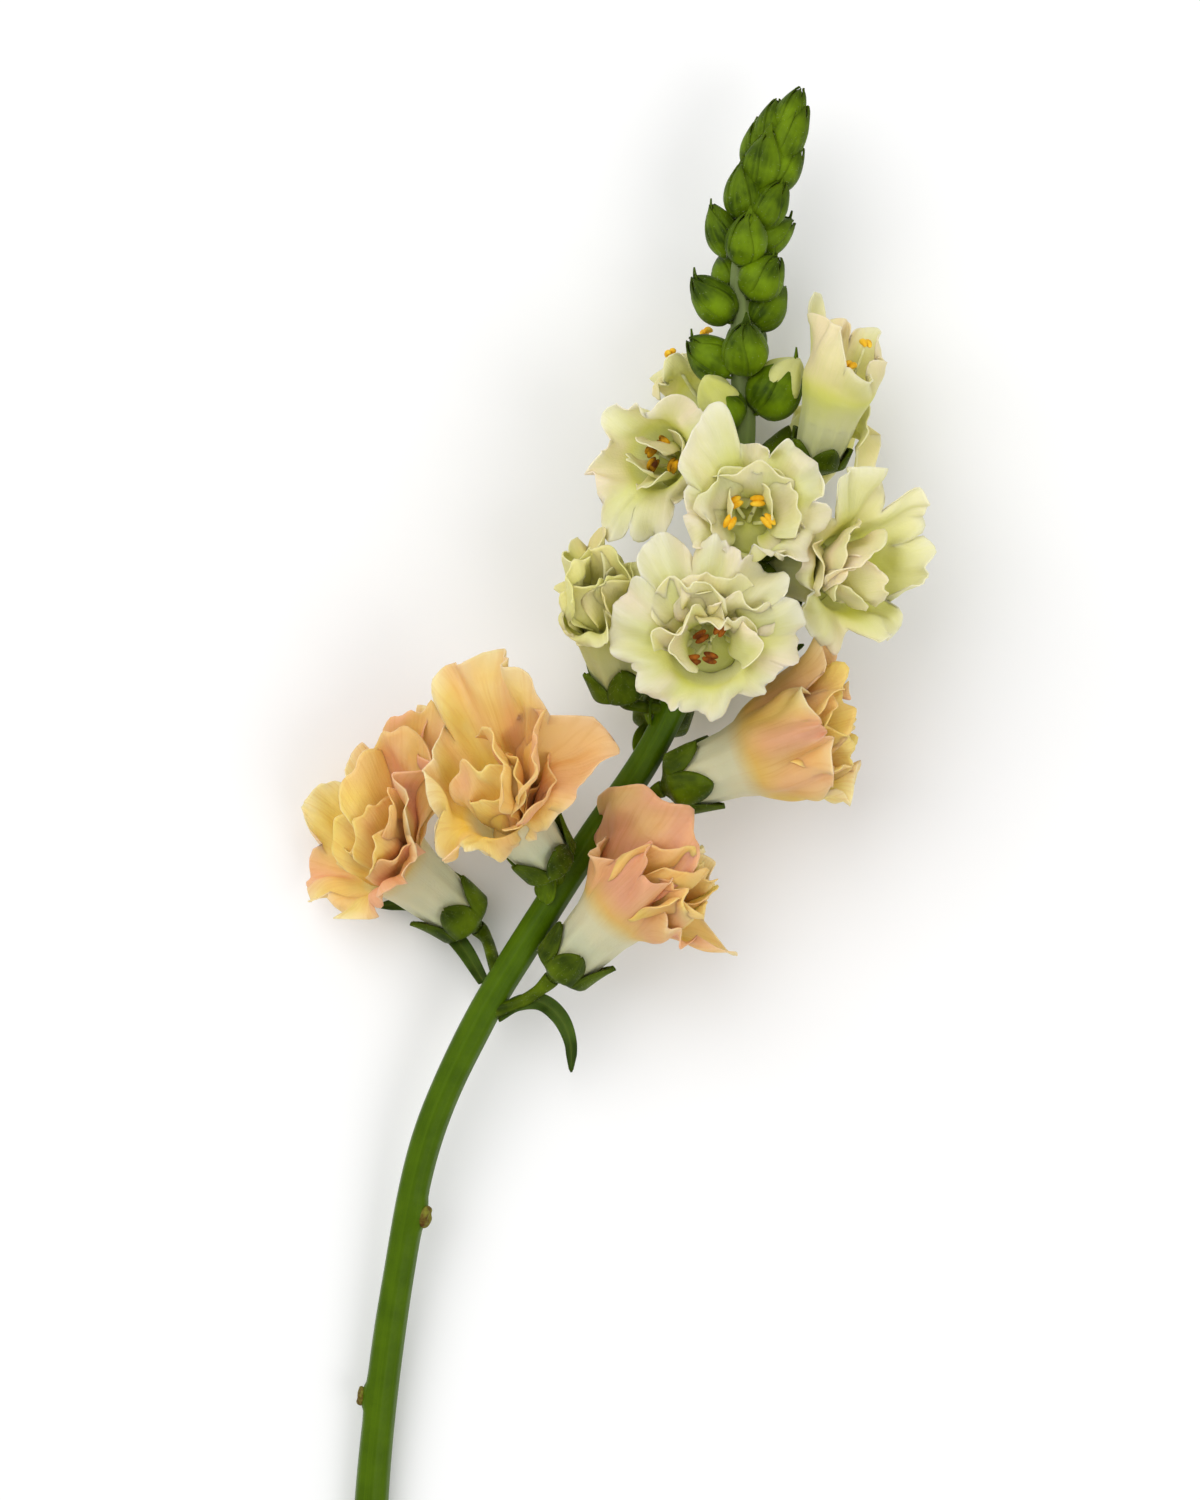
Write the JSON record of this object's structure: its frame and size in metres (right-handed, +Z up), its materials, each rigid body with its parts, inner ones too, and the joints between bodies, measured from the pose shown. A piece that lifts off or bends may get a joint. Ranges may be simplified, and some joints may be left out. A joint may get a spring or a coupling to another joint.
{
  "type": "snapdragon stem",
  "caption": "Cut snapdragon stem lying on its side, with a spire of green buds above ruffled double blooms in cream and peach.",
  "frame": {"origin": "on the table, under the middle of the part's bounding box", "axes": "+Y along the lying stem from its cut foot towards the tip of the bud spire, +Z up from the table, +X to the right seen from above"},
  "size_m": [0.127, 0.313, 0.0605],
  "materials": {
    "stem": "satin",
    "leaf": "satin",
    "calyx": "satin",
    "stamens": "matte",
    "cream_petals": "satin",
    "peach_petals": "satin"
  },
  "bodies": {
    "root": {"stem": "stem", "leaf_1": "leaf", "leaf_2": "leaf", "leaf_3": "leaf", "calyx_01": "calyx", "calyx_02": "calyx", "calyx_03": "calyx", "calyx_04": "calyx", "calyx_05": "calyx", "calyx_06": "calyx", "calyx_07": "calyx", "calyx_08": "calyx", "calyx_09": "calyx", "calyx_10": "calyx", "calyx_11": "calyx", "calyx_12": "calyx", "calyx_13": "calyx", "stamens_01": "stamens", "stamens_02": "stamens", "stamens_03": "stamens", "stamens_04": "stamens", "stamens_05": "stamens", "corolla_01": "cream_petals", "corolla_02": "cream_petals", "corolla_03": "cream_petals", "corolla_04": "cream_petals", "corolla_05": "cream_petals", "corolla_06": "cream_petals", "corolla_07": "cream_petals", "corolla_08": "peach_petals", "corolla_09": "peach_petals", "corolla_10": "peach_petals", "corolla_11": "peach_petals", "corolla_12": "cream_petals", "corolla_13": "cream_petals"}
  },
  "joints": []
}
